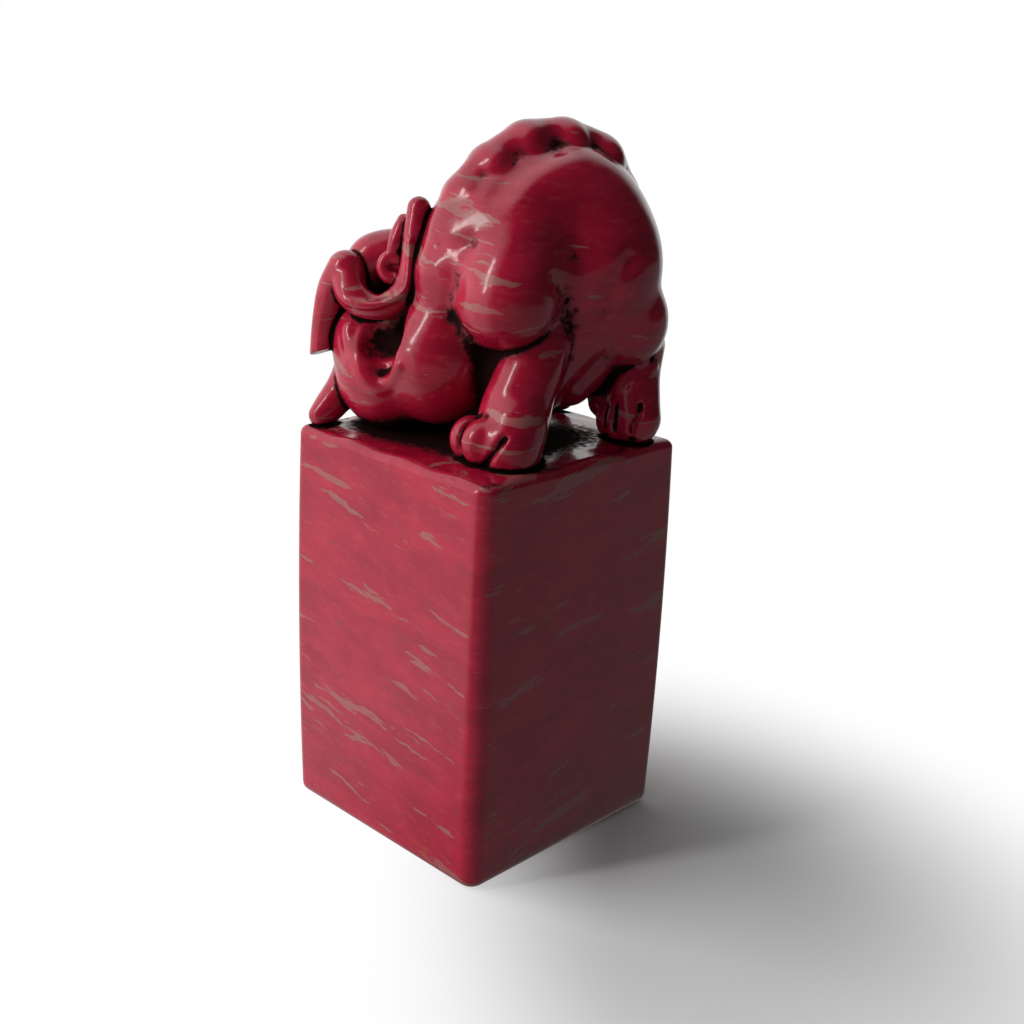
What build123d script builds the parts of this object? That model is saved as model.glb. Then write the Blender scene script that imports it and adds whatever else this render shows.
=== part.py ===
from build123d import *
import math
import os

# Hand-held seal stamp: a square stone block with a crouching guardian beast carved on its top.
# Millimetres. The origin is the middle of the seal face, +Z points up through the beast.
# The beast faces -Y, its near flank is +X, and its head is turned down towards -X.

# The block.
BLOCK_WIDTH = 50.0
BLOCK_HEIGHT = 78.0
FACE_BULGE = 0.6
UPRIGHT_EDGE_RADIUS = 2.6
TOP_ARRIS_RADIUS = 1.4
SEAL_ARRIS_RADIUS = 0.8

# The carved seal face: lands that print, left standing in a shallow ground.
RELIEF_DEPTH = 0.8
SEAL_MARGIN = 2.2
SEAL_LINE = 1.8
ROSETTE_RADIUS = 16.5
ROSETTE_EYE_RADIUS = 3.2
PETAL_COUNT = 8
PETAL_WIDTH = 6.0
PETAL_GAP = 1.6
CORNER_LEAF_RADIUS = 6.5

# The beast as a whole.
BEAST_HEIGHT = 56.2

# Half thicknesses of the beast's parts.
BARREL_RADIUS = 13.0
HAUNCH_RADIUS = 11.4
SHOULDER_RADIUS = 9.0
BELLY_RADIUS = 9.6
NECK_RADIUS = 6.6
HEAD_RADIUS = 11.4
SNOUT_RADIUS = 5.6
FORELEG_RADIUS = 5.9
HIND_LEG_RADIUS = 5.0
FAR_FORELEG_RADIUS = 4.4
TOE_RADIUS = 3.2
SPINE_KNOB_RADIUS = 3.7
HORN_RADIUS = 2.6
EAR_HOLLOW_RADIUS = 5.4
TAIL_RADIUS = 2.4

# How far cutting and crossing bodies reach past the stone.
OVERRUN = 5.0

HALF_WIDTH = BLOCK_WIDTH / 2

# Each row of these tables starts with a place: across and along the block as shares of BLOCK_WIDTH,
# and height above the block as a share of BEAST_HEIGHT.

# The trunk's upright sections from chest to rump: place, then half width and half height as shares
# of BARREL_RADIUS.
TRUNK_SHARES = [
    (-0.01, -0.310, 0.500, 0.10, 0.12),
    (-0.01, -0.290, 0.515, 0.36, 0.44),
    (0.00, -0.250, 0.540, 0.56, 0.66),
    (0.01, -0.150, 0.580, 0.80, 0.88),
    (0.04, 0.00, 0.590, 1.08, 1.14),
    (0.07, 0.12, 0.600, 1.23, 1.37),
    (0.10, 0.24, 0.595, 1.30, 1.56),
    (0.12, 0.36, 0.570, 1.27, 1.54),
    (0.14, 0.44, 0.545, 1.08, 1.34),
    (0.15, 0.485, 0.530, 0.70, 0.88),
    (0.15, 0.500, 0.525, 0.24, 0.30),
]

# Limbs: place, then half thickness as a share of the limb's own radius.
BELLY_SHARES = [
    (0.10, -0.10, 0.36, 0.80),
    (0.12, 0.00, 0.32, 1.04),
    (0.14, 0.12, 0.31, 1.02),
    (0.15, 0.26, 0.32, 0.92),
    (0.15, 0.40, 0.36, 0.60),
]
NECK_SHARES = [
    (0.02, -0.06, 0.68, 1.00),
    (-0.02, -0.13, 0.535, 0.94),
    (-0.05, -0.145, 0.41, 1.00),
    (-0.12, -0.14, 0.27, 1.22),
    (-0.18, -0.12, 0.17, 1.50),
]
NEAR_FORELEG_SHARES = [
    (0.28, -0.06, 0.54, 1.28),
    (0.32, -0.10, 0.40, 1.14),
    (0.34, -0.11, 0.26, 1.00),
    (0.33, -0.16, 0.14, 0.94),
    (0.31, -0.21, 0.05, 0.95),
    (0.30, -0.23, -0.06, 0.98),
]
FAR_FORELEG_SHARES = [
    (-0.08, -0.02, 0.63, 1.75),
    (-0.32, -0.09, 0.57, 1.28),
    (-0.41, -0.15, 0.44, 1.02),
    (-0.42, -0.21, 0.25, 0.92),
    (-0.425, -0.27, 0.10, 0.88),
    (-0.43, -0.30, -0.06, 0.92),
]
NEAR_HIND_LEG_SHARES = [
    (0.34, 0.30, 0.46, 1.45),
    (0.365, 0.345, 0.33, 1.12),
    (0.38, 0.37, 0.21, 0.98),
    (0.38, 0.375, 0.10, 0.94),
    (0.375, 0.375, -0.06, 0.98),
]
FAR_HIND_LEG_SHARES = [
    (-0.14, 0.31, 0.46, 1.45),
    (-0.19, 0.36, 0.33, 1.15),
    (-0.23, 0.38, 0.21, 1.00),
    (-0.24, 0.375, 0.10, 0.98),
    (-0.245, 0.375, -0.06, 1.00),
]
HORN_TUBE_SHARES = [
    (-0.466, -0.410, 0.235, 0.98),
    (-0.452, -0.388, 0.356, 1.04),
    (-0.425, -0.350, 0.470, 1.20),
]
HORN_BAND_SHARES = [
    (-0.440, -0.352, 0.520, 0.90),
    (-0.400, -0.344, 0.480, 1.04),
    (-0.345, -0.340, 0.410, 0.98),
    (-0.264, -0.324, 0.375, 0.94),
    (-0.178, -0.285, 0.405, 0.98),
    (-0.130, -0.236, 0.520, 0.86),
    (-0.134, -0.202, 0.625, 0.76),
    (-0.146, -0.192, 0.700, 0.70),
]
HORN_KNOB_SHARES = (-0.430, -0.350, 0.480, 1.22)
TAIL_SHARES = [
    (0.13, 0.400, 0.86, 0.90),
    (0.08, 0.450, 0.72, 1.05),
    (0.01, 0.455, 0.54, 1.10),
    (-0.05, 0.445, 0.36, 1.05),
    (-0.06, 0.440, 0.20, 0.95),
    (-0.02, 0.440, 0.08, 0.85),
    (0.05, 0.440, 0.03, 0.70),
    (0.11, 0.435, 0.02, 0.50),
]

# Swellings: place of the middle, then half width, half depth and half height as shares of the radius.
NEAR_HAUNCH_SHARES = (0.285, 0.280, 0.470, 0.88, 0.92, 1.30)
FAR_HAUNCH_SHARES = (-0.06, 0.275, 0.450, 0.84, 0.90, 1.15)
NEAR_SHOULDER_SHARES = (0.22, -0.13, 0.516, 1.00, 0.94, 1.22)
HEAD_SHARES = (-0.285, -0.175, 0.195, 0.98, 1.06, 1.00)
SNOUT_SHARES = (-0.37, 0.055, 0.150, 0.98, 1.30, 1.05)
BROW_SHARES = (-0.40, -0.040, 0.275, 0.66, 0.90, 0.50)
NOSE_SHARES = (-0.385, 0.185, 0.185, 0.50, 0.36, 0.36)
NEAR_FOREFOOT_SHARES = (0.29, -0.24, 0.03, 1.02, 1.10, 0.86)
FAR_FOREFOOT_SHARES = (-0.425, -0.36, 0.02, 0.78, 1.30, 0.90)
FAR_HIND_FOOT_SHARES = (-0.245, 0.35, 0.03, 1.02, 1.15, 0.95)
EAR_HOLLOW_SHARES = (-0.244, -0.375, 0.320, 0.96, 1.20, 1.40)

# Toes: place, then half width as a share of TOE_RADIUS.
NEAR_FORE_TOE_SHARES = [(0.166, -0.292, 0.053, 1.00), (0.260, -0.328, 0.053, 1.06), (0.360, -0.300, 0.053, 1.03)]
NEAR_HIND_TOE_SHARES = [(0.300, 0.306, 0.053, 0.90), (0.372, 0.292, 0.053, 0.94), (0.436, 0.328, 0.050, 0.86)]
FAR_HIND_TOE_SHARES = [(-0.325, 0.290, 0.050, 0.92), (-0.245, 0.268, 0.053, 0.96), (-0.165, 0.290, 0.050, 0.92)]

# Knobs of the backbone from the nape to the root of the tail: place, then half width as a share.
SPINE_KNOB_SHARES = [
    (-0.070, -0.240, 0.632, 0.86),
    (-0.050, -0.186, 0.712, 0.89),
    (-0.020, -0.100, 0.780, 0.92),
    (0.016, 0.006, 0.847, 0.97),
    (0.054, 0.120, 0.902, 1.02),
    (0.094, 0.240, 0.930, 1.08),
    (0.136, 0.350, 0.900, 1.02),
    (0.170, 0.410, 0.836, 0.95),
]
KNOB_HEIGHT_SHARE = 0.90
TOE_REACH_SHARE = 1.15
HORN_TIP_SHARE = 0.72

# Angles above and below an egg's waist at which its level sections are drawn, in degrees.
EGG_TILTS = (-84, -62, -38, -13, 13, 38, 62, 84)


def spot(across, along, up):
    """A place on the beast, from its shares of the block's width and the beast's height."""
    return Vector(across * BLOCK_WIDTH, along * BLOCK_WIDTH, BLOCK_HEIGHT + up * BEAST_HEIGHT)


def limb(rows, radius, first_side=Vector(0, 1, 0)):
    """A rounded limb: circles square to the path through the rows, joined by one smooth skin."""
    spots = [spot(*row[:3]) for row in rows]
    sections, side = [], first_side
    for i, (here, row) in enumerate(zip(spots, rows)):
        along = (spots[min(i + 1, len(spots) - 1)] - spots[max(i - 1, 0)]).normalized()
        side = (side - along * side.dot(along)).normalized()
        sections.append(Plane(origin=here, x_dir=side, z_dir=along) * Circle(row[3] * radius))
    return loft(sections)


def trunk():
    """The beast's body: upright ellipses from chest to rump, joined by one smooth skin."""
    sections = []
    for across, along, up, wide, tall in TRUNK_SHARES:
        station = Plane(origin=spot(across, along, up), x_dir=(0, 0, -1), z_dir=(0, 1, 0))
        sections.append(station * Ellipse(tall * BARREL_RADIUS, wide * BARREL_RADIUS))
    return loft(sections)


def lump(shares, radius):
    """An egg-shaped swelling: level ellipses, widest at its waist, joined by one smooth skin."""
    across, along, up, wide, deep, tall = shares
    middle = spot(across, along, up)
    sections = []
    for tilt in EGG_TILTS:
        level = Plane(middle + Vector(0, 0, tall * radius * math.sin(math.radians(tilt))))
        shrink = radius * math.cos(math.radians(tilt))
        sections.append(level * Ellipse(wide * shrink, deep * shrink))
    return loft(sections)


def toes(rows):
    """The round toes of one foot, a little longer than wide."""
    return [lump((*row[:3], row[3], row[3] * TOE_REACH_SHARE, row[3]), TOE_RADIUS) for row in rows]


def spine_knobs():
    """The low knobs along the backbone."""
    return [
        lump((*row[:3], row[3], row[3], row[3] * KNOB_HEIGHT_SHARE), SPINE_KNOB_RADIUS)
        for row in SPINE_KNOB_SHARES
    ]


def bulged_slab():
    """The block's outline seen from one side, its flanks swelling a little, run through the block."""
    top = BLOCK_HEIGHT
    left_foot, left_top = (-HALF_WIDTH, 0), (-HALF_WIDTH, top)
    right_foot, right_top = (HALF_WIDTH, 0), (HALF_WIDTH, top)
    outline = [
        Line(left_foot, right_foot),
        ThreePointArc(right_foot, (HALF_WIDTH + FACE_BULGE, top / 2), right_top),
        Line(right_top, left_top),
        ThreePointArc(left_top, (-HALF_WIDTH - FACE_BULGE, top / 2), left_foot),
    ]
    face = make_face(Plane.XZ * Wire(outline))
    return extrude(face, HALF_WIDTH + OVERRUN, both=True)


def petal():
    """One pointed petal of the rosette: the overlap of two discs, between the eye and the ring."""
    start = ROSETTE_EYE_RADIUS + PETAL_GAP
    end = ROSETTE_RADIUS - SEAL_LINE - PETAL_GAP
    half_length, half_width = (end - start) / 2, PETAL_WIDTH / 2
    disc = (half_length ** 2 + half_width ** 2) / (2 * half_width)
    offset = disc - half_width
    middle = (start + end) / 2
    return Pos(middle, offset) * Circle(disc) & Pos(middle, -offset) * Circle(disc)


def seal_ground():
    """The sunk ground of the seal face: all that lies between the printing lands."""
    outer = BLOCK_WIDTH - 2 * SEAL_MARGIN
    inner = outer - 2 * SEAL_LINE
    lands = Circle(ROSETTE_EYE_RADIUS) + (Circle(ROSETTE_RADIUS) - Circle(ROSETTE_RADIUS - SEAL_LINE))
    lands += PolarLocations(0, PETAL_COUNT) * petal()
    for across in (-1, 1):
        for along in (-1, 1):
            lands += Pos(across * inner / 2, along * inner / 2) * Circle(CORNER_LEAF_RADIUS)
    return extrude(Rectangle(inner, inner) - lands, RELIEF_DEPTH)


def seal_block():
    block = bulged_slab() & Rot(Z=90) * bulged_slab()
    uprights = block.edges().filter_by(lambda edge: edge.bounding_box().size.Z > BLOCK_HEIGHT / 2)
    block = fillet(uprights, UPRIGHT_EDGE_RADIUS)
    block = fillet(block.faces().sort_by(Axis.Z)[-1].edges(), TOP_ARRIS_RADIUS)
    block = fillet(block.faces().sort_by(Axis.Z)[0].edges(), SEAL_ARRIS_RADIUS)
    return block - seal_ground()


def horn():
    """The curling horn: a tube with a flat cut end, a round knob, and a band looping back to the nape."""
    across = Vector(1, 0, 0)
    knob = Pos(spot(*HORN_KNOB_SHARES[:3])) * Sphere(HORN_KNOB_SHARES[3] * HORN_RADIUS)
    tip = Pos(spot(*HORN_BAND_SHARES[-1][:3])) * Sphere(HORN_TIP_SHARE * HORN_RADIUS)
    tube = limb(HORN_TUBE_SHARES, HORN_RADIUS)
    return tube.fuse(knob).fuse(limb(HORN_BAND_SHARES, HORN_RADIUS, across)).fuse(tip)


def stone_column():
    """The space over the block that the beast was carved from: nothing lies below the top or past the sides."""
    tall = BEAST_HEIGHT + OVERRUN
    return Pos(0, 0, BLOCK_HEIGHT + tall / 2) * Box(BLOCK_WIDTH, BLOCK_WIDTH, tall)


def beast():
    """The whole carving in one piece, as it is cut from the stone."""
    masses = [
        lump(NEAR_HAUNCH_SHARES, HAUNCH_RADIUS),
        lump(FAR_HAUNCH_SHARES, HAUNCH_RADIUS),
        lump(NEAR_SHOULDER_SHARES, SHOULDER_RADIUS),
        limb(BELLY_SHARES, BELLY_RADIUS),
        limb(NECK_SHARES, NECK_RADIUS),
    ]
    head = [
        lump(HEAD_SHARES, HEAD_RADIUS),
        lump(SNOUT_SHARES, SNOUT_RADIUS),
        lump(BROW_SHARES, SNOUT_RADIUS),
        lump(NOSE_SHARES, SNOUT_RADIUS),
    ]
    legs = [
        limb(NEAR_FORELEG_SHARES, FORELEG_RADIUS),
        limb(FAR_FORELEG_SHARES, FAR_FORELEG_RADIUS),
        limb(NEAR_HIND_LEG_SHARES, HIND_LEG_RADIUS),
        limb(FAR_HIND_LEG_SHARES, HIND_LEG_RADIUS),
        limb(TAIL_SHARES, TAIL_RADIUS, Vector(1, 0, 0)),
    ]
    feet = [
        lump(NEAR_FOREFOOT_SHARES, FORELEG_RADIUS),
        lump(FAR_FOREFOOT_SHARES, FAR_FORELEG_RADIUS),
        lump(FAR_HIND_FOOT_SHARES, HIND_LEG_RADIUS),
        *toes(NEAR_FORE_TOE_SHARES),
        *toes(NEAR_HIND_TOE_SHARES),
        *toes(FAR_HIND_TOE_SHARES),
    ]
    body = trunk().fuse(*masses, *head, *legs, *feet, *spine_knobs())
    body = body - lump(EAR_HOLLOW_SHARES, EAR_HOLLOW_RADIUS)
    return body.fuse(horn()) & stone_column()


os.makedirs("parts", exist_ok=True)
for name, make in (("seal_block", seal_block), ("beast", beast)):
    shape = make()
    export_step(shape, f"parts/{name}.step")
    print(f"{name}: {len(shape.solids())} solid, {shape.volume / 1000:.1f} cm3")
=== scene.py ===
import bpy
import numpy as np
from mathutils import Matrix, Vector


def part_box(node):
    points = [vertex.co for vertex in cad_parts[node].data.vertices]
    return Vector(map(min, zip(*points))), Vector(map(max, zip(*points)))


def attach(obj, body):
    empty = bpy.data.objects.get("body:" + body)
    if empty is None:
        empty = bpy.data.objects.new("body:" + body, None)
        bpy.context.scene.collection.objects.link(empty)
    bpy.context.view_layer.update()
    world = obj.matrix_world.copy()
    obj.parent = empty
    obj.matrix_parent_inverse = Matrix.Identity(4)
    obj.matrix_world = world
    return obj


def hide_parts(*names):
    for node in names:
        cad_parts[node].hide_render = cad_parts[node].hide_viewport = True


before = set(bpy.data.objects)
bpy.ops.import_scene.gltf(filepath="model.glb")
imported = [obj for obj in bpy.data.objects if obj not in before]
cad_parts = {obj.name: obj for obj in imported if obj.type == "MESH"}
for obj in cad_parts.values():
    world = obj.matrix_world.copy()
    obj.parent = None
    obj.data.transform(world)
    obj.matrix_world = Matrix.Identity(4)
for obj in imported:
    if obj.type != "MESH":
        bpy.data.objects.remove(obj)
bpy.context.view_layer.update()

MM = 0.001
block_low, block_high = [np.array(corner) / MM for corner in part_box("seal_block")]
TOP = block_high[2]
BEAST_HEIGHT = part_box("beast")[1][2] / MM - TOP
BULGE, TINY = 0.45, 1e-9
HALF = block_high[0] - BULGE
print(f"block {np.round(block_high - block_low, 1)} mm, beast {BEAST_HEIGHT:.1f} mm over its top")

# %% [markdown]
# The photo's camera. It stands off the block's near corner and looks down on it. Its place was
# fitted to the block's corners, so that a pixel of the photo can be followed back into the stone.
# The fine cuts further on are placed that way.
# %% The photo's camera
PHOTO_SIDE = 1024
CAMERA_PLACE = np.array([180.6, -181.1, 149.4])
CAMERA_PITCH, CAMERA_ROLL, CAMERA_YAW = np.radians([-18.86, 2.52, -43.735])
CAMERA_SENSOR = 36.0
CAMERA_LENS = 49.56
CAMERA_FOCUS = CAMERA_LENS / CAMERA_SENSOR * PHOTO_SIDE


def camera_axes():
    """Right, up and forward of the camera: forward from its yaw and pitch, then both others rolled."""
    sin_yaw, cos_yaw = np.sin(CAMERA_YAW), np.cos(CAMERA_YAW)
    cos_pitch = np.cos(CAMERA_PITCH)
    forward = np.array([sin_yaw * cos_pitch, cos_yaw * cos_pitch, np.sin(CAMERA_PITCH)])
    level = np.array([cos_yaw, -sin_yaw, 0.0])
    upright = np.cross(level, forward)
    cos_roll, sin_roll = np.cos(CAMERA_ROLL), np.sin(CAMERA_ROLL)
    return cos_roll * level + sin_roll * upright, cos_roll * upright - sin_roll * level, forward


camera_right, camera_up, camera_forward = camera_axes()
CAMERA_OVER_TOP = CAMERA_PLACE - (0, 0, TOP)


def pixel_rays(columns, rows):
    """The ways from the camera to pixels of the photo: one forward, and right and down by the pixel's
    distance from the photo's middle over the focal length in pixels."""
    right = (np.array(columns) - PHOTO_SIDE / 2) / CAMERA_FOCUS
    down = (np.array(rows) - PHOTO_SIDE / 2) / CAMERA_FOCUS
    return camera_forward + np.multiply.outer(right, camera_right) - np.multiply.outer(down, camera_up)


def spot(column, row, ahead):
    """The place over the block's top that shows at a pixel of the photo, ahead millimetres further from
    the camera than the middle of the block's top. A nearer place has a negative number."""
    return CAMERA_OVER_TOP + pixel_rays(column, row) * (ahead - CAMERA_OVER_TOP @ camera_forward)


def spots(pixels):
    """Several such places, each given as its column, its row and how far ahead it is."""
    return [spot(*pixel) for pixel in pixels]


print(f"the camera looks along {np.round(camera_forward, 3).tolist()}")

# %% [markdown]
# The beast is round everywhere: haunches, knobs, toes and a curling horn that flow into each other.
# Lofts and subdivision cages suit bodies with clear edges, and would need hundreds of points here.
# Clay suits it better. The clay is a grid of numbers, each the distance to the skin, below zero
# inside. Pressing on more clay takes the smaller of two distances, cutting takes the larger of the
# clay and the turned-over tool, and a soft join rounds the crease between them. A cut may also
# follow pixels of the photo: each is followed back along its ray until it meets the clay.
# %% Clay
class Clay:
    """A block of clay: distances to its skin, in millimetres over the block's top, on a grid."""

    FAR, MARGIN = 30.0, 2.0
    RAY_STEPS, RAY_SHARE, RAY_BACK, RAY_AHEAD = 160, 0.8, -1, 4

    def __init__(self, low, high, step):
        self.low, self.step = np.array(low, float), step
        count = np.ceil((np.array(high) - self.low) / step).astype(int) + 1
        self.axes = [(self.low[i] + step * np.arange(count[i])).astype(np.float32) for i in range(3)]
        self.field = np.full(count, self.FAR, np.float32)

    def window(self, low, high):
        """The part of the grid between two corners: its slices and its points."""
        count = np.array(self.field.shape)
        first = np.clip(np.floor((np.array(low) - self.low) / self.step).astype(int), 0, count - 1)
        last = np.clip(np.ceil((np.array(high) - self.low) / self.step).astype(int) + 1, 1, count)
        where = tuple(slice(a, b) for a, b in zip(first, last))
        return where, np.meshgrid(*[self.axes[i][where[i]] for i in range(3)], indexing="ij")

    def join(self, where, tool, soft, cut):
        """Adds or cuts a tool. The smaller distance wins, less a bump where the two are alike: a sixth
        of soft, times the cube of how alike they are."""
        clay = -self.field[where] if cut else self.field[where]
        alike = np.maximum(soft - np.abs(clay - tool), 0) / max(soft, TINY)
        both = np.minimum(clay, tool) - alike ** 3 * soft / 6
        self.field[where] = -both if cut else both

    def egg(self, middle, radii, soft=2.0, cut=False, turn=(0, 0, 0)):
        """An ellipsoid: the distance is about k0 (k0 - 1) / k1, with k0 the point over the radii, and
        k1 the point over their squares."""
        middle, radii = np.array(middle, float), np.array(radii, float)
        reach = radii.max() + soft + self.MARGIN
        where, points = self.window(middle - reach, middle + reach)
        local = np.stack([points[i] - np.float32(middle[i]) for i in range(3)], -1)
        local = local @ turned(turn).astype(np.float32)
        k0 = np.sqrt(((local / radii) ** 2).sum(-1))
        k1 = np.sqrt(((local / radii ** 2) ** 2).sum(-1))
        tool = (k0 * (k0 - 1) / np.maximum(k1, TINY)).astype(np.float32)
        self.join(where, tool, soft, cut)

    def limb(self, spots, radii, soft=2.0, cut=False, end=None):
        """A thick line: the distance to the nearest point of a smooth line, less the radius there.
        end = (place, direction) saws off what lies past a plane."""
        line, thick = smooth_line(spots, radii)
        reach = thick.max() + soft + self.MARGIN
        where, points = self.window(line.min(0) - reach, line.max(0) + reach)
        origin = [where[i].start for i in range(3)]
        tool = np.full(points[0].shape, self.FAR, np.float32)
        for here, there, a, b in zip(line[:-1], line[1:], thick[:-1], thick[1:]):
            low, high = np.minimum(here, there) - reach, np.maximum(here, there) + reach
            patch, near = self.window(low, high)
            inner = tuple(slice(patch[i].start - origin[i], patch[i].stop - origin[i])
                          for i in range(3))
            run = there - here
            offset = [near[i] - np.float32(here[i]) for i in range(3)]
            share = sum(offset[i] * np.float32(run[i]) for i in range(3)) / np.float32(run @ run + TINY)
            share = np.clip(share, 0, 1)
            away = [offset[i] - share * np.float32(run[i]) for i in range(3)]
            distance = np.sqrt(sum(part ** 2 for part in away)) - (a + share * (b - a))
            tool[inner] = np.minimum(tool[inner], distance)
        if end is not None:
            place, direction = np.array(end[0], float), unit(end[1])
            past = sum((points[i] - np.float32(place[i])) * np.float32(direction[i]) for i in range(3))
            tool = np.maximum(tool, past)
        self.join(where, tool, soft, cut)

    def at(self, places):
        """The field at any places, read between the grid points in proportion."""
        steps = (np.asarray(places, float) - self.low) / self.step
        cell = np.clip(np.floor(steps).astype(int), 0, np.array(self.field.shape) - 2)
        part = np.clip(steps - cell, 0, 1)
        total = 0.0
        for corner in np.ndindex(2, 2, 2):
            shares = [part[..., i] if corner[i] else 1 - part[..., i] for i in range(3)]
            weight = np.prod(shares, axis=0)
            index = cell + np.array(corner)
            total = total + weight * self.field[index[..., 0], index[..., 1], index[..., 2]]
        return total

    def slope(self, places):
        """How fast the distance grows along each axis at any places, from half a step on both sides."""
        steps = np.eye(3) * self.step / 2
        return np.stack([(self.at(places + step) - self.at(places - step)) / self.step
                         for step in steps], -1)

    def seen(self, pixels):
        """Where the clay shows at pixels of the photo: each ray steps on by a share of the distance
        that it reads in the clay, and by a millimetre outside the grid."""
        rays = pixel_rays(*np.transpose(pixels))
        rays /= np.linalg.norm(rays, axis=1)[:, None]
        nearest = np.linalg.norm(CAMERA_OVER_TOP - (0, 0, BEAST_HEIGHT / 2)) - BEAST_HEIGHT
        far = np.full(len(pixels), nearest)
        high = self.low + self.step * np.array(self.field.shape)
        for _ in range(self.RAY_STEPS):
            places = CAMERA_OVER_TOP + rays * far[:, None]
            inside = ((places > self.low) & (places < high)).all(1)
            read = np.clip(self.at(places) * self.RAY_SHARE, self.RAY_BACK, self.RAY_AHEAD)
            far += np.where(inside, read, 1.0)
        return CAMERA_OVER_TOP + rays * far[:, None]

    def line_bead(self, pixels, wide, soft, deep, cut=False):
        """A bead along pixels of the photo: a thin limb, its middle deep millimetres under the skin."""
        spots = self.seen(pixels) + camera_forward * deep
        self.limb(spots, [wide / 2] * len(spots), soft, cut)

    def line_cut(self, pixels, wide, soft, deep):
        """A groove along pixels of the photo: the same thin limb, cut out."""
        self.line_bead(pixels, wide, soft, deep, cut=True)

    def saw(self, place, direction):
        """Takes off all that lies past a plane."""
        direction = unit(direction)
        points = np.meshgrid(*self.axes, indexing="ij")
        past = sum((points[i] - np.float32(place[i])) * np.float32(direction[i]) for i in range(3))
        self.field = np.maximum(self.field, past)


def unit(direction):
    """The same direction, one long."""
    return np.array(direction, float) / np.linalg.norm(direction)


def turned(degrees):
    """A turn about X, then Y, then Z, as a matrix."""
    (sx, sy, sz), (cx, cy, cz) = np.sin(np.radians(degrees)), np.cos(np.radians(degrees))
    about_x = np.array([[1, 0, 0], [0, cx, -sx], [0, sx, cx]])
    about_y = np.array([[cy, 0, sy], [0, 1, 0], [-sy, 0, cy]])
    about_z = np.array([[cz, -sz, 0], [sz, cz, 0], [0, 0, 1]])
    return about_z @ about_y @ about_x


LINE_PIECES, THINNEST = 10, 0.05


def smooth_line(spots, radii):
    """A smooth line through the spots, with its thickness: each span is a cubic whose slope at a spot
    is half the step between the spots on both sides of it."""
    knots = np.column_stack([np.array(spots, float), np.array(radii, float)])
    if len(knots) < 3:
        return knots[:, :3], knots[:, 3]
    knots = np.vstack([2 * knots[0] - knots[1], knots, 2 * knots[-1] - knots[-2]])
    t = np.linspace(0, 1, LINE_PIECES, endpoint=False)[None, :, None]
    a, b, c, d = [knots[i:len(knots) - 3 + i][:, None] for i in range(4)]
    line = 0.5 * (2 * b + (c - a) * t + (2 * a - 5 * b + 4 * c - d) * t ** 2
                  + (3 * b - a - 3 * c + d) * t ** 3)
    line = np.vstack([line.reshape(-1, 4), knots[-2]])
    return line[:, :3], np.maximum(line[:, 3], THINNEST)


# %% [markdown]
# The trunk comes first, as a carver blocks it out: a heavy barrel that rises from the bowed neck to
# the rump, the haunches and shoulders on its sides, and the belly hanging low between the legs.
# A place is x, y and height over the block's top, in millimetres. A form that shows in the photo is
# placed by column, row and how far ahead it lies.
# %% Trunk
BACK = [(-1, -8, 30), (0.6, -3, 35.4), (3.4, 4, 38.4), (6.2, 10, 39.8), (8.4, 13, 36.5), (8, 13, 28)]
BARREL, LOIN = (-1, 8, 36), (5, 5, 28)
NEAR_HAUNCH, NEAR_THIGH, FAR_HAUNCH = (13.2, 13, 31.5), (16.8, 17.4, 22.0), (-2, 13.5, 27)
BELLY_PIXELS = [(522, 372, -9), (546, 345, -8), (580, 302, -8)]
GROIN_WEB_PIXELS = [(600, 330, -4), (586, 355, -5), (568, 380, -6)]


def model_trunk(clay):
    """A limb along the back, with eggs pressed onto it for barrel, loin, haunches and thigh, and two
    limbs for the belly and the web of skin behind it."""
    clay.limb(BACK, radii=[7.5, 10.0, 12.4, 13.4, 13.4, 12.6], soft=0)
    clay.egg(BARREL, radii=(12, 15, 14), soft=4)
    clay.egg(LOIN, radii=(14, 14, 15), soft=5)
    clay.egg(NEAR_HAUNCH, radii=(12.0, 12.0, 14.5), soft=4)
    clay.egg(NEAR_THIGH, radii=(8.3, 8.1, 9.2), soft=2.5)
    clay.egg(FAR_HAUNCH, radii=(10.5, 11, 15), soft=5)
    clay.limb(spots(BELLY_PIXELS), radii=[8.8, 9.2, 10], soft=4)
    clay.limb(spots(GROIN_WEB_PIXELS), radii=[6.5, 6.0, 4.8], soft=2.5)


# %% [markdown]
# The shoulders hang from the back. The far arm passes behind the horn and down to a thin shin. The
# neck bows between them, and the head rests on the block with its cheek towards the camera.
# %% Shoulders, neck and head
NEAR_SHOULDER = [(7, -1, 37), (10.5, -5.5, 30.5), (11.5, -7.5, 27)]
NEAR_ELBOW_PIXEL = (494, 313, -18.5)
FAR_ARM_PIXELS = [(432, 268, -5), (404, 258, -3.5), (385, 257, -3.5), (371, 263, -3.5)]
FAR_ARM_HIDDEN = [(-21, -11, 25), (-21, -12, 19), (-21.4, -13.6, 13)]
NECK_PIXELS = [(468, 225, -12), (462, 255, -12.5), (456, 290, -12), (448, 325, -11), (436, 355, -9.5)]
SKULL, CHEEK_PIXEL, TEMPLE_PIXEL = (-14.0, -10, 10.5), (441, 366, -8.5), (363, 340, -3)


def model_shoulders(clay):
    """A limb for each shoulder, and an egg for the near elbow."""
    clay.limb(NEAR_SHOULDER, radii=[8.5, 8.8, 8.4], soft=5)
    clay.egg(spot(*NEAR_ELBOW_PIXEL), radii=(7.2, 6.8, 5.8), soft=2.5)
    far_arm = spots(FAR_ARM_PIXELS) + FAR_ARM_HIDDEN
    clay.limb(far_arm, radii=[5.5, 5.2, 5.0, 4.6, 4.2, 3.8, 3.4], soft=2.5)


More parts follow.
